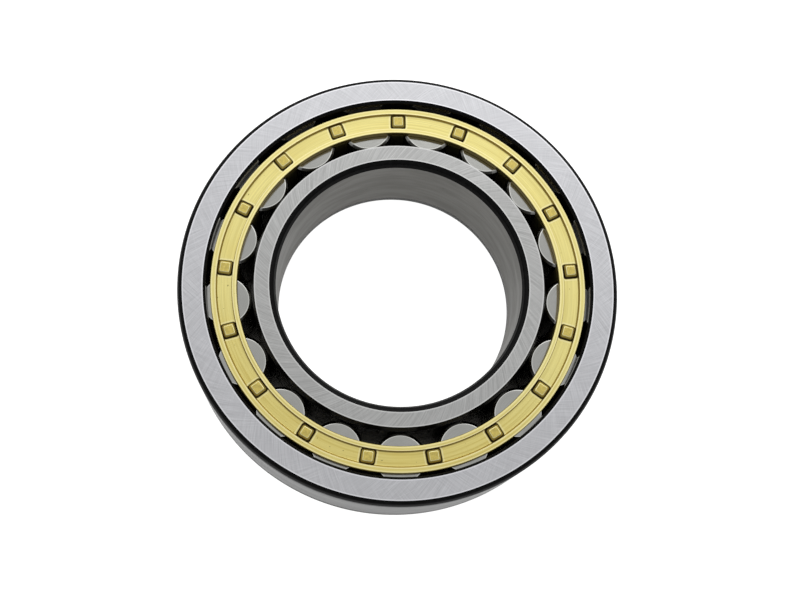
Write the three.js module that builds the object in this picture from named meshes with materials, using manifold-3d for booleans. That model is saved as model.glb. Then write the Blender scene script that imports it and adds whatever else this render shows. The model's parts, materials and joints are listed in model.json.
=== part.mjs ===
// A cylindrical roller bearing of 70 x 125 x 31 mm, in separate pieces: an outer ring with a rib at
// each side, an inner ring with one rib, seventeen rollers, and a brass cage in two pieces. The
// cage's comb has a bar between every two rollers, and the bars end in square rivets that pass
// through the side ring and hold it.
// Millimetres. Z is the axis of rotation, and the origin is on it at half the width.
import * as THREE from "three";
import { mergeVertices } from "three/addons/utils/BufferGeometryUtils.js";
import Module from "manifold-3d";

// Boundary sizes.
const BORE_RADIUS = 35;
const OUTSIDE_RADIUS = 62.5;
const WIDTH = 31;

// The rollers, and the circle that their centres lie on.
const ROLLER_COUNT = 17;
const ROLLER_RADIUS = 7.47;
const ROLLER_LENGTH = 22;
const ROLLER_CHAMFER = 0.8;
const PITCH_RADIUS = 49.25;
const FIRST_ROLLER_ANGLE = THREE.MathUtils.degToRad(9.8);

// Clearances.
const RACEWAY_GAP = 0.03;
const RIB_GAP = 0.05;
const POCKET_GAP = 0.18;
const POCKET_END_GAP = 0.15;
const RIVET_GAP = 0.15;

// The rings.
const OUTER_RACEWAY_RADIUS = PITCH_RADIUS + ROLLER_RADIUS + RACEWAY_GAP;
const INNER_RACEWAY_RADIUS = PITCH_RADIUS - ROLLER_RADIUS - RACEWAY_GAP;
const OUTER_RIB_RADIUS = 54.5;
const INNER_RIB_RADIUS = 44.75;
const RIB_CHAMFER = 0.8;
const OUTSIDE_CHAMFER = { radial: 1.5, axial: 1.7 };
const BORE_CHAMFER = { radial: 1.8, axial: 2 };

// The cage.
const CAGE_INNER_RADIUS = 45.9;
const CAGE_OUTER_RADIUS = 53.4;
const CAGE_FACE_Z = 13.3;
const CAGE_CHAMFER = 0.3;
const CHANNEL_INNER_RADIUS = 47.2;
const CHANNEL_OUTER_RADIUS = 51.75;
const CHANNEL_DEPTH = 0.7;

// The rivets.
const RIVET_CIRCLE_RADIUS = 49.5;
const SHANK_WIDTH = 2.6;
const SHANK_ROOT = 1;
const HEAD_BASE_WIDTH = 4.2;
const HEAD_TOP_WIDTH = 2.85;
const HEAD_HEIGHT = 1.1;

// The number of straight facets that stand for each full circle, and for each rounded edge.
const RING_FACETS = 96;
const CAGE_FACETS = 102;
const ROLLER_FACETS = 24;
const EDGE_FACETS = 2;

const FACE_Z = WIDTH / 2;
const ROLLER_END_Z = ROLLER_LENGTH / 2;
const RIB_Z = ROLLER_END_Z + RIB_GAP;
const POCKET_END_Z = ROLLER_END_Z + POCKET_END_GAP;
const BAR_END_Z = POCKET_END_Z - RIVET_GAP;
const CHANNEL_Z = CAGE_FACE_Z - CHANNEL_DEPTH;
const HEAD_TOP_Z = CHANNEL_Z + HEAD_HEIGHT;
const PITCH_ANGLE = (2 * Math.PI) / ROLLER_COUNT;
const FIRST_BAR_ANGLE = FIRST_ROLLER_ANGLE + PITCH_ANGLE / 2;

const wasm = await Module();
wasm.setup();

// The corner radius of a polygon whose flat sides touch a circle from outside.
const aroundCircle = (radius, facets) => radius / Math.cos(Math.PI / facets);

// Turns a closed profile, whose x is the radius and whose y is the height, about Z.
function turned(profile, facets) {
  const outline = profile.getPoints(EDGE_FACETS);
  return new THREE.LatheGeometry(outline, facets).rotateX(Math.PI / 2);
}

// Copies a geometry to every pitch angle, at a distance from the axis.
function aroundAxis(geometry, radius, firstAngle) {
  return Array.from({ length: ROLLER_COUNT }, (_, i) =>
    geometry.clone().translate(radius, 0, 0).rotateZ(firstAngle + i * PITCH_ANGLE),
  );
}

function toSolid(geometry) {
  const bare = geometry.clone();
  bare.deleteAttribute("normal");
  bare.deleteAttribute("uv");
  const merged = mergeVertices(bare, 1e-3);
  const mesh = new wasm.Mesh({
    numProp: 3,
    vertProperties: merged.attributes.position.array,
    triVerts: new Uint32Array(merged.index.array),
  });
  return new wasm.Manifold(mesh);
}

function toGeometry(solid) {
  const { vertProperties, triVerts } = solid.getMesh();
  const geometry = new THREE.BufferGeometry();
  geometry.setAttribute("position", new THREE.BufferAttribute(vertProperties, 3));
  geometry.setIndex(new THREE.BufferAttribute(triVerts, 1));
  geometry.computeVertexNormals();
  return geometry;
}

const cut = (solid, geometries) =>
  geometries.reduce((left, geometry) => left.subtract(toSolid(geometry)), solid);

const join = (solid, geometries) =>
  geometries.reduce((whole, geometry) => whole.add(toSolid(geometry)), solid);

// The raceway lies between two ribs, and every outer edge is rounded.
function outerRing() {
  const { radial, axial } = OUTSIDE_CHAMFER;
  const raceway = aroundCircle(OUTER_RACEWAY_RADIUS, RING_FACETS);
  const profile = new THREE.Path();
  profile.moveTo(raceway, -RIB_Z);
  profile.lineTo(OUTER_RIB_RADIUS, -RIB_Z);
  profile.lineTo(OUTER_RIB_RADIUS, RIB_CHAMFER - FACE_Z);
  profile.lineTo(OUTER_RIB_RADIUS + RIB_CHAMFER, -FACE_Z);
  profile.lineTo(OUTSIDE_RADIUS - radial, -FACE_Z);
  profile.quadraticCurveTo(OUTSIDE_RADIUS, -FACE_Z, OUTSIDE_RADIUS, axial - FACE_Z);
  profile.lineTo(OUTSIDE_RADIUS, FACE_Z - axial);
  profile.quadraticCurveTo(OUTSIDE_RADIUS, FACE_Z, OUTSIDE_RADIUS - radial, FACE_Z);
  profile.lineTo(OUTER_RIB_RADIUS + RIB_CHAMFER, FACE_Z);
  profile.lineTo(OUTER_RIB_RADIUS, FACE_Z - RIB_CHAMFER);
  profile.lineTo(OUTER_RIB_RADIUS, RIB_Z);
  profile.lineTo(raceway, RIB_Z);
  profile.closePath();
  return turned(profile, RING_FACETS);
}

// The rib is at the lower side. At the upper side the raceway runs out to the face, so that the
// ring slides out of the rollers.
function innerRing() {
  const { radial, axial } = BORE_CHAMFER;
  const profile = new THREE.Path();
  profile.moveTo(BORE_RADIUS, FACE_Z - axial);
  profile.lineTo(BORE_RADIUS, axial - FACE_Z);
  profile.quadraticCurveTo(BORE_RADIUS, -FACE_Z, BORE_RADIUS + radial, -FACE_Z);
  profile.lineTo(INNER_RIB_RADIUS - RIB_CHAMFER, -FACE_Z);
  profile.lineTo(INNER_RIB_RADIUS, RIB_CHAMFER - FACE_Z);
  profile.lineTo(INNER_RIB_RADIUS, -RIB_Z);
  profile.lineTo(INNER_RACEWAY_RADIUS, -RIB_Z);
  profile.lineTo(INNER_RACEWAY_RADIUS, FACE_Z - RIB_CHAMFER);
  profile.lineTo(INNER_RACEWAY_RADIUS - RIB_CHAMFER, FACE_Z);
  profile.lineTo(BORE_RADIUS + radial, FACE_Z);
  profile.quadraticCurveTo(BORE_RADIUS, FACE_Z, BORE_RADIUS, FACE_Z - axial);
  return turned(profile, RING_FACETS);
}

// A solid cylinder with a chamfer at each end.
function roller() {
  const profile = new THREE.Path();
  profile.moveTo(0, -ROLLER_END_Z);
  profile.lineTo(ROLLER_RADIUS - ROLLER_CHAMFER, -ROLLER_END_Z);
  profile.lineTo(ROLLER_RADIUS, ROLLER_CHAMFER - ROLLER_END_Z);
  profile.lineTo(ROLLER_RADIUS, ROLLER_END_Z - ROLLER_CHAMFER);
  profile.lineTo(ROLLER_RADIUS - ROLLER_CHAMFER, ROLLER_END_Z);
  profile.lineTo(0, ROLLER_END_Z);
  return turned(profile, ROLLER_FACETS);
}

// One roller's room in the comb. It ends where the side ring lies, just above the bars' ends.
function pocket() {
  const radius = aroundCircle(ROLLER_RADIUS + POCKET_GAP, ROLLER_FACETS);
  const length = 2 * POCKET_END_Z;
  return new THREE.CylinderGeometry(radius, radius, length, ROLLER_FACETS).rotateX(Math.PI / 2);
}

// The square shank rises from inside its bar, through the side ring, and into its head.
function rivetShank(width) {
  const bottom = BAR_END_Z - SHANK_ROOT;
  const top = (CHANNEL_Z + HEAD_TOP_Z) / 2;
  return new THREE.BoxGeometry(width, width, top - bottom).translate(0, 0, (top + bottom) / 2);
}

// The head is a low pyramid without its tip. Its base covers the hole that the shank fills.
function rivetHead() {
  const bottom = CHANNEL_Z + RIVET_GAP;
  const height = HEAD_TOP_Z - bottom;
  const [top, base] = [HEAD_TOP_WIDTH, HEAD_BASE_WIDTH].map((width) => width * Math.SQRT1_2);
  return new THREE.CylinderGeometry(top, base, height, 4)
    .rotateY(Math.PI / 4)
    .rotateX(Math.PI / 2)
    .translate(0, 0, bottom + height / 2);
}

// A closed ring at the lower side, a bar in every gap between two rollers, and a rivet on each bar.
function cageComb() {
  const profile = new THREE.Path();
  profile.moveTo(CAGE_INNER_RADIUS, BAR_END_Z);
  profile.lineTo(CAGE_INNER_RADIUS, CAGE_CHAMFER - CAGE_FACE_Z);
  profile.lineTo(CAGE_INNER_RADIUS + CAGE_CHAMFER, -CAGE_FACE_Z);
  profile.lineTo(CAGE_OUTER_RADIUS - CAGE_CHAMFER, -CAGE_FACE_Z);
  profile.lineTo(CAGE_OUTER_RADIUS, CAGE_CHAMFER - CAGE_FACE_Z);
  profile.lineTo(CAGE_OUTER_RADIUS, BAR_END_Z);
  profile.closePath();
  const drum = toSolid(turned(profile, CAGE_FACETS));
  const bars = cut(drum, aroundAxis(pocket(), PITCH_RADIUS, FIRST_ROLLER_ANGLE));
  const shanks = aroundAxis(rivetShank(SHANK_WIDTH), RIVET_CIRCLE_RADIUS, FIRST_BAR_ANGLE);
  const heads = aroundAxis(rivetHead(), RIVET_CIRCLE_RADIUS, FIRST_BAR_ANGLE);
  return toGeometry(join(bars, [...shanks, ...heads]));
}

// A washer with a shallow channel between two rims, and a square hole for each rivet.
function cageSideRing() {
  const profile = new THREE.Path();
  profile.moveTo(CAGE_INNER_RADIUS, POCKET_END_Z);
  profile.lineTo(CAGE_OUTER_RADIUS, POCKET_END_Z);
  profile.lineTo(CAGE_OUTER_RADIUS, CAGE_FACE_Z - CAGE_CHAMFER);
  profile.lineTo(CAGE_OUTER_RADIUS - CAGE_CHAMFER, CAGE_FACE_Z);
  profile.lineTo(CHANNEL_OUTER_RADIUS, CAGE_FACE_Z);
  profile.lineTo(CHANNEL_OUTER_RADIUS, CHANNEL_Z);
  profile.lineTo(CHANNEL_INNER_RADIUS, CHANNEL_Z);
  profile.lineTo(CHANNEL_INNER_RADIUS, CAGE_FACE_Z);
  profile.lineTo(CAGE_INNER_RADIUS + CAGE_CHAMFER, CAGE_FACE_Z);
  profile.lineTo(CAGE_INNER_RADIUS, CAGE_FACE_Z - CAGE_CHAMFER);
  profile.closePath();
  const washer = toSolid(turned(profile, CAGE_FACETS));
  const hole = rivetShank(SHANK_WIDTH + 2 * RIVET_GAP);
  return toGeometry(cut(washer, aroundAxis(hole, RIVET_CIRCLE_RADIUS, FIRST_BAR_ANGLE)));
}

const groundSteel = (color) =>
  new THREE.MeshStandardMaterial({ color, roughness: 0.35, metalness: 1 });

const turnedBrass = (color) =>
  new THREE.MeshStandardMaterial({ color, roughness: 0.3, metalness: 1 });

function piece(name, geometry, material) {
  const mesh = new THREE.Mesh(geometry, material);
  mesh.name = name;
  return mesh;
}

function rollerSet() {
  const set = new THREE.Group();
  const geometry = roller();
  for (let i = 0; i < ROLLER_COUNT; i += 1) {
    const angle = FIRST_ROLLER_ANGLE + i * PITCH_ANGLE;
    const number = String(i + 1).padStart(2, "0");
    const mesh = piece(`roller_${number}`, geometry, groundSteel(0x989891));
    mesh.position.set(PITCH_RADIUS * Math.cos(angle), PITCH_RADIUS * Math.sin(angle), 0);
    mesh.rotation.z = angle;
    set.add(mesh);
  }
  return set;
}

function cage() {
  const group = new THREE.Group();
  group.add(piece("cage_comb", cageComb(), turnedBrass(0xc9ad5c)));
  group.add(piece("cage_side_ring", cageSideRing(), turnedBrass(0xe6da8a)));
  return group;
}

const bearing = new THREE.Group();
bearing.add(piece("outer_ring", outerRing(), groundSteel(0xc1c1c3)));
bearing.add(piece("inner_ring", innerRing(), groundSteel(0xacacaa)));
bearing.add(rollerSet());
bearing.add(cage());

export default bearing;
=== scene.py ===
"""The looks of a cylindrical roller bearing with a riveted brass cage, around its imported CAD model.

Sizes in this script are millimetres, and MM turns them into Blender's metres. The axis of rotation is Z,
and the bearing lies flat with its plain side and the cage's rivet heads up.
"""

import json
import math
import random

import bmesh
import bpy
from mathutils import Matrix, Vector

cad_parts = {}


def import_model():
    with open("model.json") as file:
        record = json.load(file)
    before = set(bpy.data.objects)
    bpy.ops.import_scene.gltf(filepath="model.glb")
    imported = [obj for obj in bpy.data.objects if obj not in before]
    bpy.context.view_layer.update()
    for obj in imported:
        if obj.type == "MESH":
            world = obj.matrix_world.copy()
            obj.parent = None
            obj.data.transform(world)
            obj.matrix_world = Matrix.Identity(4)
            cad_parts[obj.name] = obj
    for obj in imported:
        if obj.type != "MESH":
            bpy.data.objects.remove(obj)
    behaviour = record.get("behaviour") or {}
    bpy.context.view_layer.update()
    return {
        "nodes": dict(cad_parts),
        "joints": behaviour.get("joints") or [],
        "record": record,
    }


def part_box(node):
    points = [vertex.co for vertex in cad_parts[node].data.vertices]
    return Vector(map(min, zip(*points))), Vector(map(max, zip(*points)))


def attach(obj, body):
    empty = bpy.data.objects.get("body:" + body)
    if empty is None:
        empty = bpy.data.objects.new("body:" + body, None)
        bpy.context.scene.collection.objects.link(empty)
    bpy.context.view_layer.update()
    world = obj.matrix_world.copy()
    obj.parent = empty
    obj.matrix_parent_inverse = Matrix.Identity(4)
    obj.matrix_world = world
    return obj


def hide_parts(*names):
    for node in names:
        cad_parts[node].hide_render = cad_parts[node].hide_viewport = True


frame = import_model()

MM = 0.001
BODIES = frame["record"]["behaviour"]["bodies"]
JOINTS = {joint["name"]: joint for joint in frame["joints"]}


def radii(node):
    """The smallest and largest distance from Z of a CAD node's corners, in mm."""
    reach = [math.hypot(v.co.x, v.co.y) / MM for v in frame["nodes"][node].data.vertices]
    return min(reach), max(reach)


def heights(node):
    low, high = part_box(node)
    return low.z / MM, high.z / MM


# The rings, from the CAD model.
OUTER_RIB_R, OUTSIDE_R = radii("outer_ring")
BORE_R, INNER_RIB_R = radii("inner_ring")
FACE_Z = heights("outer_ring")[1]

# The rollers, from the CAD model and its joints.
ROLLERS = sorted(body for body in BODIES if body.startswith("roller_"))
ROLLER_CENTRES = {body: Vector(JOINTS[body + "_spin"]["pos_m"]) / MM for body in ROLLERS}
PITCH_R = ROLLER_CENTRES[ROLLERS[0]].length
FIRST_ANGLE = math.atan2(ROLLER_CENTRES[ROLLERS[0]].y, ROLLER_CENTRES[ROLLERS[0]].x)
PITCH_ANGLE = math.tau / len(ROLLERS)
FIRST_BAR_ANGLE = FIRST_ANGLE + PITCH_ANGLE / 2
ROLLER_END_Z = heights(ROLLERS[0])[1]
ROLLER_R = (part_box(ROLLERS[0])[1].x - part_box(ROLLERS[0])[0].x) / 2 / MM

# The cage, from the CAD model.
CAGE_IN_R, CAGE_OUT_R = (math.floor(r * 100) / 100 for r in radii("cage_side_ring"))
SIDE_RING_Z, CAGE_FACE_Z = heights("cage_side_ring")
HEAD_TOP_Z = heights("cage_comb")[1]

# Edges and clearances that the solids leave plain.
RACEWAY_GAP = 0.03
RIB_GAP = 0.05
OUTER_RACE_R = PITCH_R + ROLLER_R + RACEWAY_GAP
INNER_RACE_R = PITCH_R - ROLLER_R - RACEWAY_GAP
RIB_Z = ROLLER_END_Z + RIB_GAP
OUTSIDE_CHAMFER = (1.5, 1.7)
BORE_CHAMFER = (1.8, 2.0)
RIB_CHAMFER = 0.75
# Height of the painted shade at the foot of the outer ring's rib bores.
RIB_FOOT_SHADE = 1.9
ROLLER_CHAMFER = 0.8
UNDERCUT = 0.35
POCKET_GAP = 0.18
POCKET_END_GAP = 0.15
BAR_END_GAP = 0.1
CHANNEL_IN_R, CHANNEL_OUT_R = 47.25, 51.8
OUTER_WALL_SLOPE, INNER_WALL_SLOPE = 0.4, 0.15
CHANNEL_Z = CAGE_FACE_Z - 0.7
RIVET_CIRCLE_R = 49.5
HEAD_BASE, HEAD_TOP = 4.2, 2.85
HEAD_CORNER = 0.75
HOLE = 2.9
SHANK_GAP = 0.15
CAGE_FILLET = 0.3
BAR_EDGE = 0.15
RIM_FILLET = 0.25
RIM_EDGE = 0.06
HIDDEN_EDGE = 0.1

# How finely round shapes are divided. The cage's counts are whole numbers for each rivet.
RING_STEPS = 360
ROLLER_STEPS = 96
COMB_STEPS = 18 * len(ROLLERS)
SIDE_RING_STEPS = 24 * len(ROLLERS)
ARC_STEPS = 6
SUPPORT = 0.04


# ---- Mesh making ------------------------------------------------------------------------------------

def add_piece(name, mesh, materials, smooth_below=35):
    """An object of that mesh, smooth apart from edges sharper than smooth_below degrees."""
    for material in materials:
        mesh.materials.append(material)
    mesh.polygons.foreach_set("use_smooth", [True] * len(mesh.polygons))
    mesh.set_sharp_from_angle(angle=math.radians(smooth_below))
    piece = bpy.data.objects.new(name, mesh)
    bpy.context.scene.collection.objects.link(piece)
    return piece


def hand_over(piece, body, slot, *nodes):
    """Makes a piece move with its body and stand for CAD nodes, which it hides. slot is not used."""
    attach(piece, body)
    if nodes:
        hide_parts(*nodes)


def to_mesh(name, form):
    bmesh.ops.recalc_face_normals(form, faces=form.faces)
    mesh = bpy.data.meshes.new(name)
    form.to_mesh(mesh)
    form.free()
    return mesh


def corner_arc(before, corner, after, radius):
    """The points of a fillet at a corner of an outline, or the corner itself where it is sharp."""
    if radius == 0:
        return [corner]
    back, on = (before - corner).normalized(), (after - corner).normalized()
    half = back.angle(on) / 2
    start = corner + back * (radius / math.tan(half))
    centre = corner + (back + on).normalized() * (radius / math.sin(half))
    end = corner + on * (radius / math.tan(half))
    turn = (start - centre).angle_signed(end - centre)
    spokes = (Matrix.Rotation(-turn * i / ARC_STEPS, 2) @ (start - centre) for i in range(ARC_STEPS + 1))
    return [centre + spoke for spoke in spokes]


def outline(corners):
    """Points (r, z) of a closed profile, and the zone of the stretch after each point.

    A corner is (r, z, fillet radius, zone of the side after it). A fillet next to a chamfer belongs to
    the chamfer. Long sides get a point close to each end, which keeps the fillets' shading off them.
    """
    places = [Vector(corner[:2]) for corner in corners]
    points, zones = [], []
    for i, (_, _, radius, zone) in enumerate(corners):
        last_zone = corners[i - 1][3]
        arc = corner_arc(places[i - 1], places[i], places[(i + 1) % len(places)], radius)
        arc_zone = "chamfer" if "chamfer" in (zone, last_zone) else last_zone
        points += arc
        zones += [arc_zone] * (len(arc) - 1) + [zone]
    padded, padded_zones = [], []
    for i, (point, zone) in enumerate(zip(points, zones)):
        following = points[(i + 1) % len(points)]
        padded.append(point)
        padded_zones.append(zone)
        if (following - point).length > 5 * SUPPORT:
            step = (following - point).normalized() * SUPPORT
            padded += [point + step, following - step]
            padded_zones += [zone, zone]
    return padded, padded_zones


def lathe(name, corners, steps, zone_order):
    """A closed profile turned about Z. zone_order gives each zone's material number."""
    points, zones = outline(corners)
    form = bmesh.new()
    rings = []
    for i in range(steps):
        angle = math.tau * i / steps
        spoke = Vector((math.cos(angle), math.sin(angle), 0))
        rings.append([form.verts.new((spoke * p.x + Vector((0, 0, p.y))) * MM) for p in points])
    for i, ring in enumerate(rings):
        following = rings[(i + 1) % steps]
        for j in range(len(points)):
            k = (j + 1) % len(points)
            face = form.faces.new((ring[j], following[j], following[k], ring[k]))
            face.material_index = zone_order.index(zones[j])
    return to_mesh(name, form)


def disc_lathe(name, corners, steps, zone_order):
    """An open profile from the axis to the axis, turned about Z into a solid with a pole at each end."""
    points, zones = outline(corners)
    form = bmesh.new()
    inner = [p for p in points if p.x > SUPPORT / 2]
    zones = [zone for p, zone in zip(points, zones) if p.x > SUPPORT / 2]
    poles = [form.verts.new((0, 0, z * MM)) for z in (corners[0][1], corners[-1][1])]
    rings = []
    for i in range(steps):
        angle = math.tau * i / steps
        spoke = Vector((math.cos(angle), math.sin(angle), 0))
        rings.append([form.verts.new((spoke * p.x + Vector((0, 0, p.y))) * MM) for p in inner])
    for i, ring in enumerate(rings):
        following = rings[(i + 1) % steps]
        form.faces.new((poles[0], following[0], ring[0])).material_index = zone_order.index(zones[0])
        form.faces.new((poles[1], ring[-1], following[-1])).material_index = zone_order.index(zones[-1])
        for j in range(len(inner) - 1):
            face = form.faces.new((ring[j], following[j], following[j + 1], ring[j + 1]))
            face.material_index = zone_order.index(zones[j])
    return to_mesh(name, form)


def boolean(mesh, other, operation):
    """One mesh joined with, or cut by, another. Both are used up."""
    target = bpy.data.objects.new("target", mesh)
    tool = bpy.data.objects.new("tool", other)
    for thing in (target, tool):
        bpy.context.scene.collection.objects.link(thing)
    modifier = target.modifiers.new("boolean", "BOOLEAN")
    modifier.operation, modifier.solver, modifier.object = operation, "EXACT", tool
    result = bpy.data.meshes.new_from_object(target.evaluated_get(bpy.context.evaluated_depsgraph_get()))
    for thing in (target, tool):
        data = thing.data
        bpy.data.objects.remove(thing)
        bpy.data.meshes.remove(data)
    return result


def arc(centre, radius, start, end, steps):
    """Points of an arc in plan. start and end are angles seen from its centre."""
    angles = (start + (end - start) * i / steps for i in range(steps + 1))
    return [centre + Vector((math.cos(a), math.sin(a))) * radius for a in angles]


# ---- Material making --------------------------------------------------------------------------------

NOISE_ROUGHNESS = 0.55
PAINTED_HIGHLIGHT_INSET = 0.12
PAINTED_HIGHLIGHT_HALF = 0.3
BLACK_SKIN = (0.006, 0.006, 0.006, 1)
LIP_HIGHLIGHT_GREY = (0.15, 0.15, 0.15, 1)


class Shader:
    """A material whose nodes are made by short calls. Inputs are numbers, colours or other nodes' outputs."""

    def __init__(self, name):
        self.material = bpy.data.materials.new(name)
        self.material.use_nodes = True
        self.tree = self.material.node_tree
        self.surface = self.tree.nodes["Principled BSDF"]
        self.place = self.node("ShaderNodeTexCoord").outputs["Object"]
        self.millimetres = self.vector("SCALE", self.place, scale=1 / MM)
        flat = self.vector("MULTIPLY", self.millimetres, (1, 1, 0))
        self.radius = self.vector("LENGTH", flat, output="Value")
        self.spoke = self.vector("NORMALIZE", flat)
        self.height = self.split(self.millimetres)[2]

    def node(self, kind, **settings):
        made = self.tree.nodes.new(kind)
        for name, value in settings.items():
            setattr(made, name, value)
        return made

    def feed(self, socket, value):
        if isinstance(value, bpy.types.NodeSocket):
            self.tree.links.new(value, socket)
        elif value is not None:
            socket.default_value = value

    def math(self, operation, *values, clamp=False):
        made = self.node("ShaderNodeMath", operation=operation, use_clamp=clamp)
        for socket, value in zip(made.inputs, values):
            self.feed(socket, value)
        return made.outputs[0]

    def vector(self, operation, *values, scale=None, output="Vector"):
        made = self.node("ShaderNodeVectorMath", operation=operation)
        for socket, value in zip(made.inputs, values):
            self.feed(socket, value)
        self.feed(made.inputs[3], scale)
        return made.outputs[output]

    def split(self, vector):
        made = self.node("ShaderNodeSeparateXYZ")
        self.feed(made.inputs[0], vector)
        return made.outputs

    def blend(self, share, first, second, mode="MIX"):
        """Mixes two colours."""
        made = self.node("ShaderNodeMix", data_type="RGBA", blend_type=mode, clamp_factor=True)
        self.feed(made.inputs["Factor"], share)
        self.feed(made.inputs[6], first)
        self.feed(made.inputs[7], second)
        return made.outputs[2]

    def between(self, value, low, high, to_low=0.0, to_high=1.0):
        """Maps low..high to to_low..to_high, with soft ends."""
        made = self.node("ShaderNodeMapRange", interpolation_type="SMOOTHSTEP")
        for socket, number in zip(made.inputs, (value, low, high, to_low, to_high)):
            self.feed(socket, number)
        return made.outputs[0]

    def band(self, value, middle, half_width):
        """1 at the middle of a band, and 0 outside it."""
        away = self.math("ABSOLUTE", self.math("SUBTRACT", value, middle))
        return self.between(away, half_width * 0.3, half_width, 1.0, 0.0)

    def noise(self, vector, scale=1.0, detail=3.0):
        made = self.node("ShaderNodeTexNoise")
        self.feed(made.inputs["Vector"], vector)
        self.feed(made.inputs["Scale"], scale)
        self.feed(made.inputs["Detail"], detail)
        self.feed(made.inputs["Roughness"], NOISE_ROUGHNESS)
        return made.outputs[0]

    def grain(self, around, across, along=None, twist=0.0, seed=0.0, detail=2.0):
        """Noise in polar coordinates, with no seam. Its marks are around mm long round a circle of the
        pitch radius and across mm wide along the radius, or along Z where along is the height. twist is
        how far the marks lean: 1 is 45 degrees to the radius."""
        along = self.radius if along is None else along
        turn = self.math("MULTIPLY", self.math("LOGARITHM", self.radius, math.e), twist)
        spin = self.node("ShaderNodeVectorRotate", rotation_type="Z_AXIS")
        self.feed(spin.inputs["Vector"], self.spoke)
        self.feed(spin.inputs["Angle"], turn)
        spread = self.vector("SCALE", spin.outputs[0], scale=PITCH_R / around)
        lift = self.node("ShaderNodeCombineXYZ")
        self.feed(lift.inputs["Z"], self.math("MULTIPLY_ADD", along, 1 / across, seed))
        return self.noise(self.vector("ADD", spread, lift.outputs[0]), detail=detail)

    def bump(self, height, depth_mm, strength=0.5):
        made = self.node("ShaderNodeBump")
        self.feed(made.inputs["Strength"], strength)
        self.feed(made.inputs["Distance"], depth_mm * MM)
        self.feed(made.inputs["Height"], height)
        self.feed(self.surface.inputs["Normal"], made.outputs[0])

    def finish(self, color, roughness, metallic=1.0, specular=None):
        self.feed(self.surface.inputs["Base Color"], color)
        self.feed(self.surface.inputs["Roughness"], roughness)
        self.feed(self.surface.inputs["Metallic"], metallic)
        self.feed(self.surface.inputs["Specular IOR Level"], specular)
        return self.material


def tint(color, share):
    return tuple(min(1.0, part * share) for part in color) + (1.0,)


def ground_face(name, color, edges, lean=1.0, crossing=1.0, contrast=0.16):
    """A ring's side face: oblique grinding streaks, crossed in places, longer scratches, painted highlights
    along its edges.

    Each edge is a pair of radii of a painted highlight line, for the lower and the upper side.
    """
    s = Shader(name)
    one_way = s.grain(0.34, 7.0, twist=lean, detail=4.0)
    other_way = s.grain(0.3, 7.0, twist=-0.8 * lean, seed=40.0, detail=3.0)
    patches = s.noise(s.millimetres, scale=0.07, detail=2.0)
    share = s.between(patches, 0.38, 0.62, 1 - 0.8 * crossing, 1 - 0.2 * crossing)
    streaks = s.math("ADD", s.math("MULTIPLY", one_way, share),
                     s.math("MULTIPLY", other_way, s.math("SUBTRACT", 1.0, share)))
    scratch = s.between(s.grain(0.12, 16.0, twist=2.2 * lean, seed=7.0, detail=0.0), 0.74, 0.8)
    cloud = s.noise(s.millimetres, scale=0.16, detail=4.0)
    tone = s.between(streaks, 0.3, 0.7)
    shade = s.blend(tone, tint(color, 1 - contrast), tint(color, 1 + contrast))
    shade = s.blend(s.between(cloud, 0.3, 0.75, 0.0, 0.5), shade, tint(color, 0.93))
    shade = s.blend(s.math("MULTIPLY", scratch, 0.5), shade, tint(color, 1.35))
    # Painted highlight: a bright line along each edge of the face, a little in from it.
    for lower, upper in edges:
        edge = s.between(s.height, -1.0, 1.0, lower, upper)
        line = s.math("MULTIPLY", s.band(s.radius, edge, PAINTED_HIGHLIGHT_HALF), 0.8)
        shade = s.blend(line, shade, tint(color, 1.5))
    s.bump(s.math("ADD", streaks, s.math("MULTIPLY", scratch, 0.8)), 0.006, 0.35)
    return s.finish(shade, s.between(streaks, 0.25, 0.75, 0.29, 0.38))


def chamfer_black_and_foot_shade():
    """The black, unground edges: turned lines, and a satin sheen. The same black paints shade on the foot of
    the outer ring's rib bores.
    """
    s = Shader("chamfer_black_and_foot_shade")
    lines = s.grain(14.0, 0.12, detail=3.0)
    blotches = s.noise(s.millimetres, scale=0.9, detail=4.0)
    shade = s.blend(s.between(blotches, 0.35, 0.75), (0.002, 0.002, 0.002, 1), BLACK_SKIN)
    s.bump(s.math("ADD", lines, blotches), 0.01, 0.3)
    return s.finish(shade, s.between(blotches, 0.3, 0.7, 0.3, 0.42), metallic=0.0, specular=0.1)


def ground_cylinder(name, color, roughness=(0.3, 0.4), skin=0.0):
    """A bore or an outside diameter: fine lines round it, faint cloudy bands, and next to its chamfers
    the black skin, which runs on for skin mm, with a painted grey highlight line in it."""
    s = Shader(name)
    lines = s.grain(26.0, 0.16, along=s.height, detail=3.0)
    drift = s.grain(18.0, 3.0, along=s.height, seed=12.0)
    spots = s.between(s.noise(s.millimetres, scale=0.5, detail=1.0), 0.74, 0.8)
    shade = s.blend(s.between(lines, 0.3, 0.7), tint(color, 0.86), tint(color, 1.1))
    shade = s.blend(s.between(drift, 0.35, 0.7, 0.0, 0.25), shade, tint(color, 0.86))
    shade = s.blend(s.math("MULTIPLY", spots, 0.35), shade, tint(color, 0.55))
    if skin:
        inwards = s.math("SUBTRACT", FACE_Z - OUTSIDE_CHAMFER[1], s.math("ABSOLUTE", s.height))
        uneven = s.math("MULTIPLY_ADD", drift, -0.4 * skin, inwards)
        shade = s.blend(s.between(uneven, 0.75 * skin, skin, 0.98, 0.0), shade, BLACK_SKIN)
        # Painted highlight: a grey line in the skin, just in from the chamfer.
        lip_highlight = s.math("MULTIPLY", s.band(inwards, 0.45, 0.3), 0.4)
        shade = s.blend(lip_highlight, shade, LIP_HIGHLIGHT_GREY)
    s.bump(lines, 0.004, 0.3)
    return s.finish(shade, s.between(drift, 0.3, 0.7, *roughness))


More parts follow.
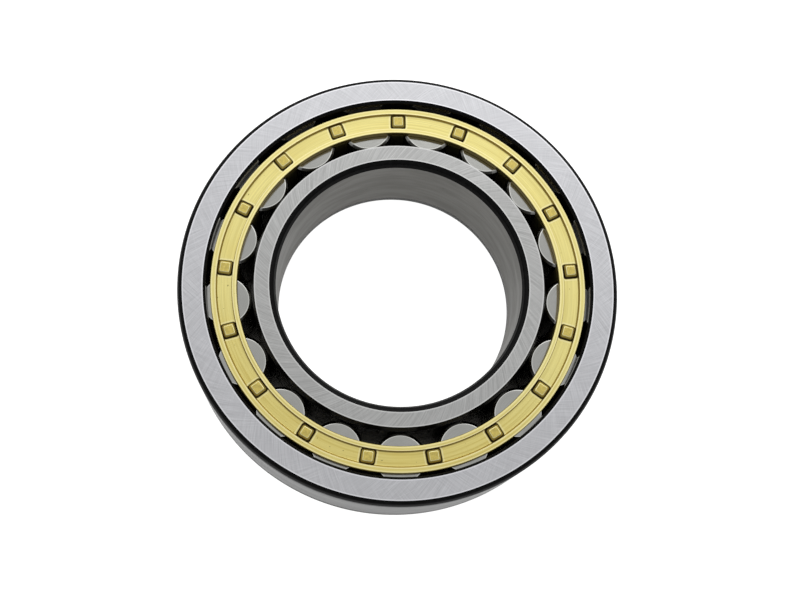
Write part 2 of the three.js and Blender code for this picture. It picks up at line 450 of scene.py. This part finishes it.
def raceway():
    """The honed running surfaces: more polished than the faces, painted dark as shade deep between the rings,
    with a film of oil in their roughness.
    """
    s = Shader("raceway_steel")
    lines = s.grain(30.0, 0.1, along=s.height, detail=2.0)
    film = s.noise(s.millimetres, scale=0.25, detail=3.0)
    # Painted shade: a very dark base colour for steel deep between the rings.
    shade = s.blend(s.between(lines, 0.3, 0.7), (0.105, 0.102, 0.098, 1), (0.15, 0.147, 0.14, 1))
    s.bump(lines, 0.002, 0.25)
    return s.finish(shade, s.between(film, 0.3, 0.7, 0.14, 0.26))


def rib_bore():
    """The upper part of the outer ring's rib bores, polished. Their foot is painted black as shade."""
    s = Shader("rib_bore")
    lines = s.grain(22.0, 0.2, along=s.height, detail=3.0)
    film = s.noise(s.millimetres, scale=0.4, detail=3.0)
    shade = s.blend(s.between(lines, 0.3, 0.7), (0.2, 0.193, 0.178, 1), (0.28, 0.272, 0.255, 1))
    s.bump(lines, 0.001, 0.2)
    return s.finish(shade, s.between(film, 0.3, 0.7, 0.12, 0.18))


def rib_side():
    """The ribs' inner flanks and the inner ring's rib, deep behind the rollers and painted dark as shade
    there.
    """
    s = Shader("rib_steel")
    lines = s.grain(22.0, 0.2, detail=3.0)
    film = s.noise(s.millimetres, scale=0.4, detail=3.0)
    # Painted shade: a near-black base colour for steel deep behind the rollers.
    shade = s.blend(s.between(lines, 0.3, 0.7), (0.05, 0.048, 0.044, 1), (0.085, 0.082, 0.076, 1))
    s.bump(lines, 0.004, 0.3)
    return s.finish(shade, s.between(film, 0.3, 0.7, 0.2, 0.3))


ROLLER_TONE = (0.355, 0.355, 0.336)


def roller_end():
    """A roller's end: ground in circles, with a faint wash of oil, and a painted highlight round its chamfer.
    """
    s = Shader("roller_end")
    rings = s.grain(60.0, 0.12, detail=3.0)
    wash = s.noise(s.millimetres, scale=0.22, detail=3.0)
    shade = s.blend(s.between(rings, 0.3, 0.7), tint(ROLLER_TONE, 0.93), tint(ROLLER_TONE, 1.06))
    shade = s.blend(s.between(wash, 0.35, 0.7, 0.0, 0.6), shade, tint(ROLLER_TONE, 0.9))
    # Painted highlight: a bright line where the end meets its chamfer.
    shade = s.blend(s.math("MULTIPLY", s.band(s.radius, ROLLER_R - ROLLER_CHAMFER, 0.3), 0.8), shade,
                    tint(ROLLER_TONE, 2.2))
    s.bump(rings, 0.003, 0.3)
    return s.finish(shade, s.between(wash, 0.3, 0.7, 0.1, 0.17))


def roller_side():
    s = Shader("roller_side")
    lines = s.grain(40.0, 0.1, along=s.height, detail=3.0)
    film = s.noise(s.millimetres, scale=0.3, detail=3.0)
    shade = s.blend(s.between(lines, 0.3, 0.7), tint(ROLLER_TONE, 0.72), tint(ROLLER_TONE, 0.92))
    s.bump(lines, 0.002, 0.25)
    return s.finish(shade, s.between(film, 0.3, 0.7, 0.14, 0.24))


BRASS = (0.83, 0.735, 0.283)
OLD_BRASS = (0.56, 0.45, 0.12)
CREASE_SHADE_BROWN = (0.028, 0.016, 0.004)
WALL_SHADE_BROWN = (0.4, 0.27, 0.06)
RIM_HIGHLIGHT = (1.0, 0.9, 0.48, 1)
HALO_HIGHLIGHT = (1.0, 0.94, 0.58, 1)
HEAD_EDGE_HIGHLIGHT = (1.0, 0.93, 0.5, 1)
GAP_SHADE = (0.3, 0.3, 0.3, 1)


def from_nearest_rivet(s):
    """How far a point of the cage lies outside the nearest rivet's rounded square base, in mm."""
    x, y, _ = s.split(s.millimetres)
    angle = s.math("SUBTRACT", s.math("ARCTAN2", y, x), FIRST_BAR_ANGLE)
    folded = s.math("WRAP", angle, PITCH_ANGLE / 2, -PITCH_ANGLE / 2)
    outward = s.math("SUBTRACT", s.math("MULTIPLY", s.radius, s.math("COSINE", folded)), RIVET_CIRCLE_R)
    sideways = s.math("MULTIPLY", s.radius, s.math("SINE", folded))
    past = [s.math("MAXIMUM", s.math("SUBTRACT", s.math("ABSOLUTE", way), HEAD_BASE / 2 - HEAD_CORNER), 0.0)
            for way in (outward, sideways)]
    reach = s.math("SQRT", s.math("MULTIPLY_ADD", past[0], past[0], s.math("MULTIPLY", past[1], past[1])))
    return s.math("SUBTRACT", reach, HEAD_CORNER)


def turned_brass(name, rivets=False, dark_walls=False, dark_above=None):
    """Machined brass: fine lines round the axis, slow changes of tone, specks, and towards -Y more
    streaks of wear and a painted shade, darker and more golden.

    rivets adds painted shade in the crease round each rivet and at the foot of the channel's inner wall,
    a painted bright halo round each rivet, and painted highlights along the rims. dark_walls paints shade
    on steep walls. Above the height dark_above the brass is painted dark, as shade between the rollers.
    """
    s = Shader(name)
    along = s.math("ADD", s.radius, s.height)
    lines = s.grain(30.0, 0.11, along=along, detail=3.0)
    broad = s.grain(22.0, 0.5, along=along, seed=30.0)
    cloud = s.noise(s.millimetres, scale=0.12, detail=3.0)
    shade = s.blend(s.between(lines, 0.3, 0.7), tint(BRASS, 0.86), tint(BRASS, 1.08))
    # Towards -Y: more streaks of wear, and a painted shade that makes the brass darker and more golden.
    minus_y_wear_and_shade = s.between(s.split(s.millimetres)[1], -PITCH_R, -0.2 * PITCH_R, 1.0, 0.0)
    streaked = s.math("MULTIPLY_ADD", minus_y_wear_and_shade, 0.6, 0.35)
    streak = s.math("MULTIPLY", s.between(broad, 0.42, 0.7, 0.0, 0.85), streaked)
    fine_streak = s.math("MULTIPLY", s.between(lines, 0.5, 0.68, 0.0, 0.45), minus_y_wear_and_shade)
    shade = s.blend(fine_streak, shade, tint(OLD_BRASS, 0.8))
    shade = s.blend(streak, shade, tint(OLD_BRASS, 0.98))
    shade = s.blend(s.between(cloud, 0.45, 0.75, 0.0, 0.3), shade, tint(OLD_BRASS, 1.35))
    # Painted shade on the -Y side: darker, more golden brass.
    shade = s.blend(s.math("MULTIPLY", minus_y_wear_and_shade, 0.35), shade, tint(OLD_BRASS, 1.35))
    specks = s.between(s.noise(s.millimetres, scale=1.3, detail=1.0), 0.765, 0.79)
    shade = s.blend(s.math("MULTIPLY", specks, 0.75), shade, tint(OLD_BRASS, 0.35))
    if rivets:
        # Painted shade: a brown band in the crease at the foot of the channel's inner wall, stronger towards
        # -Y.
        foot = s.band(s.radius, CHANNEL_IN_R + INNER_WALL_SLOPE + 0.1, 0.26)
        shade = s.blend(s.math("MULTIPLY", s.math("MULTIPLY", foot, minus_y_wear_and_shade), 0.7), shade, tint(WALL_SHADE_BROWN, 0.5))
        past_rivet = from_nearest_rivet(s)
        # Painted highlight: a bright halo on the channel floor round each rivet's base.
        halo_highlight = s.math("MULTIPLY", s.band(past_rivet, 0.45, 0.24), 0.45)
        shade = s.blend(halo_highlight, shade, HALO_HIGHLIGHT)
        # Painted shade: dark brown in the crease round each rivet's base.
        shade = s.blend(s.between(past_rivet, 0.04, 0.24, 1.0, 0.0), shade, CREASE_SHADE_BROWN + (1,))
        # Painted highlights: bright lines along the edges of the rims.
        for edge in (CAGE_IN_R + 0.4, CHANNEL_IN_R - 0.12, CHANNEL_OUT_R + 0.2, CAGE_OUT_R - 0.4):
            shade = s.blend(s.math("MULTIPLY", s.band(s.radius, edge, 0.26), 0.7), shade, RIM_HIGHLIGHT)
    if dark_walls:
        # Painted shade: steep walls turn brown.
        up = s.math("ABSOLUTE", s.split(s.node("ShaderNodeTexCoord").outputs["Normal"])[2])
        shade = s.blend(s.between(up, 0.6, 0.85, 0.7, 0.0), shade, WALL_SHADE_BROWN + (1,))
    if dark_above is not None:
        deep = s.between(s.height, dark_above - 0.4, dark_above)
        shade = s.blend(deep, shade, GAP_SHADE, mode="MULTIPLY")
    s.bump(s.math("ADD", lines, s.math("MULTIPLY", broad, 0.5)), 0.005, 0.35)
    return s.finish(shade, s.between(lines, 0.25, 0.75, 0.34, 0.46), metallic=0.85)


def rivet_brass():
    """The upset rivet heads: dull, hammered tops, painted highlights on their edges, sides painted a lighter
    gold, and painted shade that turns the sides brown at the foot.
    """
    s = Shader("rivet_brass")
    up = s.split(s.node("ShaderNodeTexCoord").outputs["Normal"])[2]
    hammered = s.noise(s.millimetres, scale=1.1, detail=3.0)
    fine = s.noise(s.vector("MULTIPLY", s.millimetres, (6, 1.2, 1)), detail=3.0)
    shade = s.blend(s.between(hammered, 0.3, 0.7), tint(OLD_BRASS, 0.95), tint(OLD_BRASS, 1.4))
    shade = s.blend(s.between(fine, 0.35, 0.7, 0.0, 0.45), shade, tint(OLD_BRASS, 0.8))
    # Painted highlight along the top edge of each head.
    edge = s.math("MULTIPLY", s.between(up, 0.78, 0.88), s.between(up, 0.975, 0.998, 1.0, 0.0))
    shade = s.blend(edge, shade, HEAD_EDGE_HIGHLIGHT)
    # Painted light: the sides are a lighter gold than the top.
    side = s.between(up, 0.72, 0.86, 1.0, 0.0)
    shade = s.blend(side, shade, tint(OLD_BRASS, 1.5))
    # Painted shade: the sides turn brown towards their foot.
    low = s.between(s.height, CHANNEL_Z + 0.3, CHANNEL_Z + 0.75, 1.0, 0.15)
    shade = s.blend(s.math("MULTIPLY", side, low), shade, CREASE_SHADE_BROWN + (1,))
    s.bump(s.math("ADD", hammered, s.math("MULTIPLY", fine, 0.4)), 0.03, 0.4)
    return s.finish(shade, s.between(hammered, 0.3, 0.7, 0.36, 0.5), metallic=0.8)


# ---- The rings --------------------------------------------------------------------------------------

OUTER_TONE = (0.53, 0.53, 0.547)
INNER_TONE = (0.41, 0.41, 0.403)


def outer_ring():
    """Two ribs with the raceway between them. Mirrored, so that both sides are alike."""
    radial, axial = OUTSIDE_CHAMFER
    half = [
        (OUTER_RACE_R, RIB_Z - UNDERCUT, 0, "rib"),
        (OUTER_RACE_R + UNDERCUT, RIB_Z - UNDERCUT / 2, 0.1, "rib"),
        (OUTER_RACE_R + UNDERCUT / 2, RIB_Z, 0.1, "rib"),
        # The foot of the rib bore takes the black chamfer material: painted shade beside the roller ends.
        (OUTER_RIB_R, RIB_Z, 0.15, "chamfer"),
        (OUTER_RIB_R, RIB_Z + RIB_FOOT_SHADE, 0, "rib_bore"),
        (OUTER_RIB_R, FACE_Z - RIB_CHAMFER, 0.2, "chamfer"),
        (OUTER_RIB_R + RIB_CHAMFER, FACE_Z, 0, "face"),
        (OUTSIDE_R - radial, FACE_Z, 0, "chamfer"),
        (OUTSIDE_R - radial * 0.35, FACE_Z - axial * 0.3, 1.2, "chamfer"),
        (OUTSIDE_R, FACE_Z - axial, 2.0, "outside"),
    ]
    corners = half + mirrored(half, "raceway")
    zones = ["face", "chamfer", "outside", "raceway", "rib", "rib_bore"]
    # Radii of the painted highlight lines along the face's edges.
    edges = [(r, r) for r in (OUTER_RIB_R + RIB_CHAMFER + PAINTED_HIGHLIGHT_INSET, OUTSIDE_R - radial - PAINTED_HIGHLIGHT_INSET)]
    materials = [
        ground_face("outer_face", OUTER_TONE, edges),
        chamfer_black_and_foot_shade(),
        ground_cylinder("outside_diameter", (0.34, 0.34, 0.34), skin=2.1),
        raceway(),
        rib_side(),
        rib_bore(),
    ]
    piece = add_piece("outer_ring_body", lathe("outer_ring_body", corners, RING_STEPS, zones), materials)
    hand_over(piece, "outer_ring", "outer_ring_steel", "outer_ring")
    return materials


def mirrored(half, last_zone):
    """The same corners below Z = 0, in the opposite order. A side's zone comes from the corner before."""
    zones = [corner[3] for corner in half]
    flipped = []
    for i in reversed(range(len(half))):
        r, z, radius, _ = half[i]
        flipped.append((r, -z, radius, zones[i - 1] if i else last_zone))
    return flipped


def inner_ring(steels):
    """The raceway runs out to the plain upper side. The rib is at the lower side."""
    radial, axial = BORE_CHAMFER
    corners = [
        (BORE_R, FACE_Z - axial, 0.3, "bore"),
        (BORE_R, axial - FACE_Z, 0.3, "chamfer"),
        (BORE_R + radial * 0.35, axial * 0.25 - FACE_Z, 0.7, "chamfer"),
        (BORE_R + radial, -FACE_Z, 0, "face"),
        (INNER_RIB_R - RIB_CHAMFER, -FACE_Z, 0, "chamfer"),
        (INNER_RIB_R, RIB_CHAMFER - FACE_Z, 0.2, "rib"),
        (INNER_RIB_R, -RIB_Z, 0.15, "rib"),
        (INNER_RACE_R - UNDERCUT / 2, -RIB_Z, 0.1, "rib"),
        (INNER_RACE_R - UNDERCUT, UNDERCUT / 2 - RIB_Z, 0.1, "rib"),
        (INNER_RACE_R, UNDERCUT - RIB_Z, 0, "raceway"),
        (INNER_RACE_R, FACE_Z - 2.4, 1.5, "chamfer"),
        (INNER_RACE_R - RIB_CHAMFER, FACE_Z, 0, "face"),
        (BORE_R + radial, FACE_Z, 0, "chamfer"),
        (BORE_R + radial * 0.35, FACE_Z - axial * 0.25, 0.7, "chamfer"),
    ]
    zones = ["face", "chamfer", "bore", "raceway", "rib"]
    _, chamfer, _, race, rib, _ = steels
    # Radii of the painted highlight lines along the faces' edges, for the lower and the upper side.
    edges = [
        (BORE_R + radial + PAINTED_HIGHLIGHT_INSET, BORE_R + radial + PAINTED_HIGHLIGHT_INSET),
        (INNER_RIB_R - RIB_CHAMFER - PAINTED_HIGHLIGHT_INSET, INNER_RACE_R - RIB_CHAMFER - PAINTED_HIGHLIGHT_INSET),
    ]
    materials = [
        ground_face("inner_face", INNER_TONE, edges, lean=0.8, crossing=0.3, contrast=0.24),
        chamfer,
        ground_cylinder("bore", (0.222, 0.216, 0.2), roughness=(0.3, 0.42)),
        race,
        rib,
    ]
    piece = add_piece("inner_ring_body", lathe("inner_ring_body", corners, RING_STEPS, zones), materials)
    hand_over(piece, "inner_ring", "inner_ring_steel", "inner_ring")


# ---- The rollers ------------------------------------------------------------------------------------

def rollers():
    """The same roller in every place: flat ground ends and blended chamfers."""
    flat_r = ROLLER_R - ROLLER_CHAMFER
    half = [
        (0, ROLLER_END_Z, 0, "end"),
        (flat_r, ROLLER_END_Z, 0.25, "end"),
        (ROLLER_R, ROLLER_END_Z - ROLLER_CHAMFER, 0.6, "side"),
    ]
    corners = half + mirrored(half, "end")
    end, side = roller_end(), roller_side()
    mesh = disc_lathe("roller", corners, ROLLER_STEPS, ["end", "side"])
    for body in ROLLERS:
        piece = add_piece(body + "_body", mesh.copy(), [end, side])
        piece.location = ROLLER_CENTRES[body] * MM
        hand_over(piece, body, "roller_steel", body)
    bpy.data.meshes.remove(mesh)


# ---- The cage ---------------------------------------------------------------------------------------

def bar_outline(inset):
    """A bar in plan, between two pockets and the cage's two radii, drawn in by inset on every side."""
    pocket_r = ROLLER_R + POCKET_GAP + inset
    inner_r, outer_r = CAGE_IN_R + inset, CAGE_OUT_R - inset
    middle = Vector((PITCH_R, 0))
    turned = []
    for reach in (inner_r, outer_r):
        cosine = (PITCH_R**2 + reach**2 - pocket_r**2) / (2 * PITCH_R * reach)
        turned.append(math.acos(cosine))
    half_inner, half_outer = (PITCH_ANGLE / 2 - angle for angle in turned)
    flank = [Vector((math.cos(a), math.sin(a))) * r for a, r in
             ((turned[0], inner_r), (turned[1], outer_r))]
    start, end = (math.atan2((p - middle).y, (p - middle).x) for p in flank)
    side = arc(middle, pocket_r, start, end, 24)
    to_bar = Matrix.Rotation(-PITCH_ANGLE / 2, 2)
    upper = [Vector((p.x, -p.y)) for p in (to_bar @ q for q in side)]
    lower = [Vector((p.x, -p.y)) for p in upper]
    origin = Vector((0, 0))
    outer = arc(origin, outer_r, half_outer, -half_outer, 6)[1:-1]
    inner = arc(origin, inner_r, -half_inner, half_inner, 6)[1:-1]
    return upper + outer + list(reversed(lower)) + inner


def bars():
    """The comb's bars, as closed solids that stand in the closed ring."""
    low, high = 1.0 - CAGE_FACE_Z, SIDE_RING_Z - BAR_END_GAP
    levels = [(low, 0.0), (high - BAR_EDGE, 0.0), (high, BAR_EDGE)]
    form = bmesh.new()
    for k in range(len(ROLLERS)):
        turn = Matrix.Rotation(FIRST_BAR_ANGLE + k * PITCH_ANGLE, 3, "Z")
        loops = [
            [form.verts.new(turn @ Vector((p.x, p.y, z)) * MM) for p in bar_outline(inset)]
            for z, inset in levels
        ]
        count = len(loops[0])
        for below, above in zip(loops, loops[1:]):
            for i in range(count):
                j = (i + 1) % count
                form.faces.new((below[i], below[j], above[j], above[i]))
        form.faces.new(list(reversed(loops[0])))
        form.faces.new(loops[-1])
    return to_mesh("bars", form)


def comb():
    """The closed ring at the lower side, and a bar between every two rollers."""
    top = -ROLLER_END_Z - POCKET_END_GAP
    corners = [
        (CAGE_IN_R, top, 0, "brass"),
        (CAGE_IN_R, -CAGE_FACE_Z, CAGE_FILLET, "brass"),
        (CAGE_OUT_R, -CAGE_FACE_Z, CAGE_FILLET, "brass"),
        (CAGE_OUT_R, top, 0, "brass"),
    ]
    ring = lathe("comb_ring", corners, COMB_STEPS, ["brass"])
    mesh = boolean(ring, bars(), "UNION")
    piece = add_piece("cage_comb_body", mesh, [turned_brass("comb_brass", dark_above=top - 0.4)])
    hand_over(piece, "cage", "cage_brass", "cage_comb")


def rivet_frame(k):
    """Where rivet k stands: X points out from the axis."""
    turn = Matrix.Rotation(FIRST_BAR_ANGLE + k * PITCH_ANGLE, 4, "Z")
    return turn @ Matrix.Translation((RIVET_CIRCLE_R * MM, 0, 0))


def side_ring():
    """A washer with a channel between two rims, and a square hole for each rivet."""
    corners = [
        (CAGE_IN_R, SIDE_RING_Z, HIDDEN_EDGE, "brass"),
        (CAGE_OUT_R, SIDE_RING_Z, HIDDEN_EDGE, "brass"),
        (CAGE_OUT_R, CAGE_FACE_Z, RIM_FILLET, "brass"),
        (CHANNEL_OUT_R, CAGE_FACE_Z, RIM_EDGE, "brass"),
        (CHANNEL_OUT_R - OUTER_WALL_SLOPE, CHANNEL_Z, 0.25, "brass"),
        (CHANNEL_IN_R + INNER_WALL_SLOPE, CHANNEL_Z, 0.12, "brass"),
        (CHANNEL_IN_R, CAGE_FACE_Z, RIM_EDGE, "brass"),
        (CAGE_IN_R, CAGE_FACE_Z, RIM_FILLET, "brass"),
    ]
    form = bmesh.new()
    height = 4 * MM
    for k in range(len(ROLLERS)):
        place = rivet_frame(k) @ Matrix.Translation((0, 0, SIDE_RING_Z * MM))
        size = Matrix.Diagonal((HOLE * MM, HOLE * MM, height, 1))
        bmesh.ops.create_cube(form, size=1, matrix=place @ size)
    washer = lathe("side_ring", corners, SIDE_RING_STEPS, ["brass"])
    mesh = boolean(washer, to_mesh("holes", form), "DIFFERENCE")
    brass = turned_brass("side_ring_brass", rivets=True, dark_walls=True)
    piece = add_piece("cage_side_ring_body", mesh, [brass])
    hand_over(piece, "cage", "cage_brass", "cage_side_ring")


# How far the rivet heads differ from each other: turned in degrees, moved in mm, and grown.
HEAD_TURN = 2.5
HEAD_SHIFT = 0.08
HEAD_GROWTH = (0.95, 1.04)
HEAD_SINK = (0.0, 0.1)


def rivet_heads():
    """Upset heads: each is a low pyramid without its tip, a little different from the next."""
    dice = random.Random(17)
    form = bmesh.new()
    for k in range(len(ROLLERS)):
        turn = Matrix.Rotation(math.radians(dice.uniform(-HEAD_TURN, HEAD_TURN)), 4, "Z")
        moved = [dice.uniform(-HEAD_SHIFT, HEAD_SHIFT) * MM for _ in range(2)]
        shift = Matrix.Translation((*moved, 0))
        place = rivet_frame(k) @ shift @ turn
        grow = dice.uniform(*HEAD_GROWTH)
        top_z = HEAD_TOP_Z - dice.uniform(*HEAD_SINK)
        head(form, place, HEAD_BASE / 2 * grow, HEAD_TOP / 2 * grow, top_z)
    mesh = to_mesh("rivet_heads", form)
    piece = add_piece("rivet_heads", mesh, [rivet_brass()], smooth_below=50)
    hand_over(piece, "cage", "cage_brass")


def rounded_square(half, radius, steps=4):
    """The corners of a square in plan, each an arc."""
    points = []
    for k in range(4):
        turn = math.pi / 2 * k
        centre = Matrix.Rotation(turn, 2) @ Vector((half - radius, half - radius))
        points += arc(centre, radius, turn, turn + math.pi / 2, steps)
    return points


def head(form, place, base, top, top_z):
    """One head and its shank: a low pyramid without its tip, with rounded corners and edges."""
    shank = HOLE / 2 - SHANK_GAP
    levels = [
        (SIDE_RING_Z, shank, 0.1),
        (CHANNEL_Z - 0.02, shank, 0.1),
        (CHANNEL_Z + 0.02, base, HEAD_CORNER),
        (CHANNEL_Z + 0.12, base, HEAD_CORNER),
        (CHANNEL_Z + 0.2, base - 0.06, HEAD_CORNER - 0.05),
        (top_z - 0.3, top + 0.09, 0.46),
        (top_z - 0.11, top - 0.02, 0.42),
        (top_z - 0.03, top - 0.13, 0.36),
        (top_z, top - 0.26, 0.26),
        (top_z, top - 0.32, 0.2),
    ]
    loops = [[form.verts.new(place @ (Vector((p.x, p.y, z)) * MM)) for p in rounded_square(half, radius)]
             for z, half, radius in levels]
    count = len(loops[0])
    for below, above in zip(loops, loops[1:]):
        for i in range(count):
            j = (i + 1) % count
            form.faces.new((below[i], below[j], above[j], above[i]))
    form.faces.new(list(reversed(loops[0])))
    form.faces.new(loops[-1])


# ---- The stage --------------------------------------------------------------------------------------

FLOOR_HALF = 6.0
GLOW_TO_CAMERA = 0.92
GLOW_IN_REFLECTIONS = 0.32
BRIGHT_SIDE = (-0.05, 1.0, 1.0)
ROOM_TINT = (0.99, 0.995, 1.0, 1)
CAMERA_PLACE = (0.0, -91.9, 351.0)
CAMERA_TARGET = (1.232, -4.907, 15.518)
CAMERA_LENS = 55.489
CAMERA_ROLL = 15.92


def floor():
    """A plain pale table top."""
    mesh = bpy.data.meshes.new("floor")
    half, z = FLOOR_HALF, -FACE_Z * MM
    mesh.from_pydata([(-half, -half, z), (half, -half, z), (half, half, z), (-half, half, z)], [],
                     [(0, 1, 2, 3)])
    material = bpy.data.materials.new("floor")
    material.use_nodes = True
    surface = material.node_tree.nodes["Principled BSDF"]
    surface.inputs["Base Color"].default_value = (0.8, 0.8, 0.795, 1)
    surface.inputs["Roughness"].default_value = 0.9
    surface.inputs["Specular IOR Level"].default_value = 0.0
    surface.inputs["Emission Color"].default_value = (1, 1, 0.995, 1)
    glow_where_open(material.node_tree, surface.inputs["Emission Strength"])
    mesh.materials.append(material)
    plane = bpy.data.objects.new("floor", mesh)
    bpy.context.scene.collection.objects.link(plane)


def glow_where_open(tree, strength):
    """The table top shines as if lit from below, for the camera and in reflections, except under the ring."""
    seen = tree.nodes.new("ShaderNodeLightPath")
    direct = tree.nodes.new("ShaderNodeMath")
    direct.operation = "MULTIPLY"
    direct.inputs[1].default_value = GLOW_TO_CAMERA
    either = tree.nodes.new("ShaderNodeMath")
    either.operation = "MULTIPLY_ADD"
    either.inputs[1].default_value = GLOW_IN_REFLECTIONS
    place = tree.nodes.new("ShaderNodeTexCoord")
    radius = tree.nodes.new("ShaderNodeVectorMath")
    radius.operation = "LENGTH"
    flat = tree.nodes.new("ShaderNodeVectorMath")
    flat.operation = "MULTIPLY"
    flat.inputs[1].default_value = (1, 1, 0)
    middle, half = (BORE_R + OUTSIDE_R) / 2 * MM, (OUTSIDE_R - BORE_R) / 2 * MM
    under = tree.nodes.new("ShaderNodeMath")
    under.operation = "COMPARE"
    under.inputs[1].default_value = middle
    under.inputs[2].default_value = half
    open_table = tree.nodes.new("ShaderNodeMath")
    open_table.operation = "SUBTRACT"
    open_table.inputs[0].default_value = 1.0
    both = tree.nodes.new("ShaderNodeMath")
    both.operation = "MULTIPLY"
    for start, end in (
        (place.outputs["Object"], flat.inputs[0]),
        (flat.outputs[0], radius.inputs[0]),
        (radius.outputs["Value"], under.inputs[0]),
        (under.outputs[0], open_table.inputs[1]),
        (seen.outputs["Is Camera Ray"], direct.inputs[0]),
        (seen.outputs["Is Glossy Ray"], either.inputs[0]),
        (direct.outputs[0], either.inputs[2]),
        (either.outputs[0], both.inputs[0]),
        (open_table.outputs[0], both.inputs[1]),
        (both.outputs[0], strength),
    ):
        tree.links.new(start, end)


def world():
    """A pale room that is bright overhead and darker towards the horizon."""
    made = bpy.data.worlds.new("room")
    bpy.context.scene.world = made
    made.use_nodes = True
    tree = made.node_tree
    background = tree.nodes["Background"]
    place = tree.nodes.new("ShaderNodeTexCoord")
    towards = tree.nodes.new("ShaderNodeVectorMath")
    towards.operation = "DOT_PRODUCT"
    tree.links.new(place.outputs["Generated"], towards.inputs[0])
    towards.inputs[1].default_value = Vector(BRIGHT_SIDE).normalized()
    rise = tree.nodes.new("ShaderNodeMapRange")
    rise.interpolation_type = "SMOOTHSTEP"
    for name, value in (("From Min", 0.3), ("From Max", 1.0), ("To Min", 0.38), ("To Max", 1.0)):
        rise.inputs[name].default_value = value
    tree.links.new(towards.outputs["Value"], rise.inputs["Value"])
    seen = tree.nodes.new("ShaderNodeLightPath")
    strength = tree.nodes.new("ShaderNodeMix")
    strength.inputs[3].default_value = 1.0
    tree.links.new(seen.outputs["Is Camera Ray"], strength.inputs["Factor"])
    tree.links.new(rise.outputs[0], strength.inputs[2])
    tree.links.new(strength.outputs[0], background.inputs["Strength"])
    background.inputs["Color"].default_value = ROOM_TINT


def lamp(name, place, size, power, aim=(0, 0, 0)):
    """A soft rectangular light that faces its aim."""
    data = bpy.data.lights.new(name, "AREA")
    data.shape = "RECTANGLE"
    data.size, data.size_y = size
    data.energy = power
    made = bpy.data.objects.new(name, data)
    made.location = place
    made.rotation_mode = "QUATERNION"
    made.rotation_quaternion = (Vector(aim) - Vector(place)).to_track_quat("-Z", "Y")
    bpy.context.scene.collection.objects.link(made)


def lights():
    lamp("overhead", (-0.05, 0.75, 0.9), (1.0, 0.7), 1.6)
    lamp("left", (-0.9, 0.2, 0.8), (0.6, 0.9), 0.3)


def camera():
    """Looks down from in front, turned a little about its own line of sight."""
    data = bpy.data.cameras.new("camera")
    data.lens = CAMERA_LENS
    made = bpy.data.objects.new("camera", data)
    place, target = Vector(CAMERA_PLACE) * MM, Vector(CAMERA_TARGET) * MM
    made.location = place
    made.rotation_mode = "QUATERNION"
    upright = (target - place).to_track_quat("-Z", "Y")
    made.rotation_quaternion = upright @ Matrix.Rotation(math.radians(CAMERA_ROLL), 4, "Z").to_quaternion()
    bpy.context.scene.collection.objects.link(made)
    bpy.context.scene.camera = made


bpy.context.scene.view_settings.view_transform = "Standard"
camera()
inner_ring(outer_ring())
rollers()
comb()
side_ring()
rivet_heads()
floor()
world()
lights()
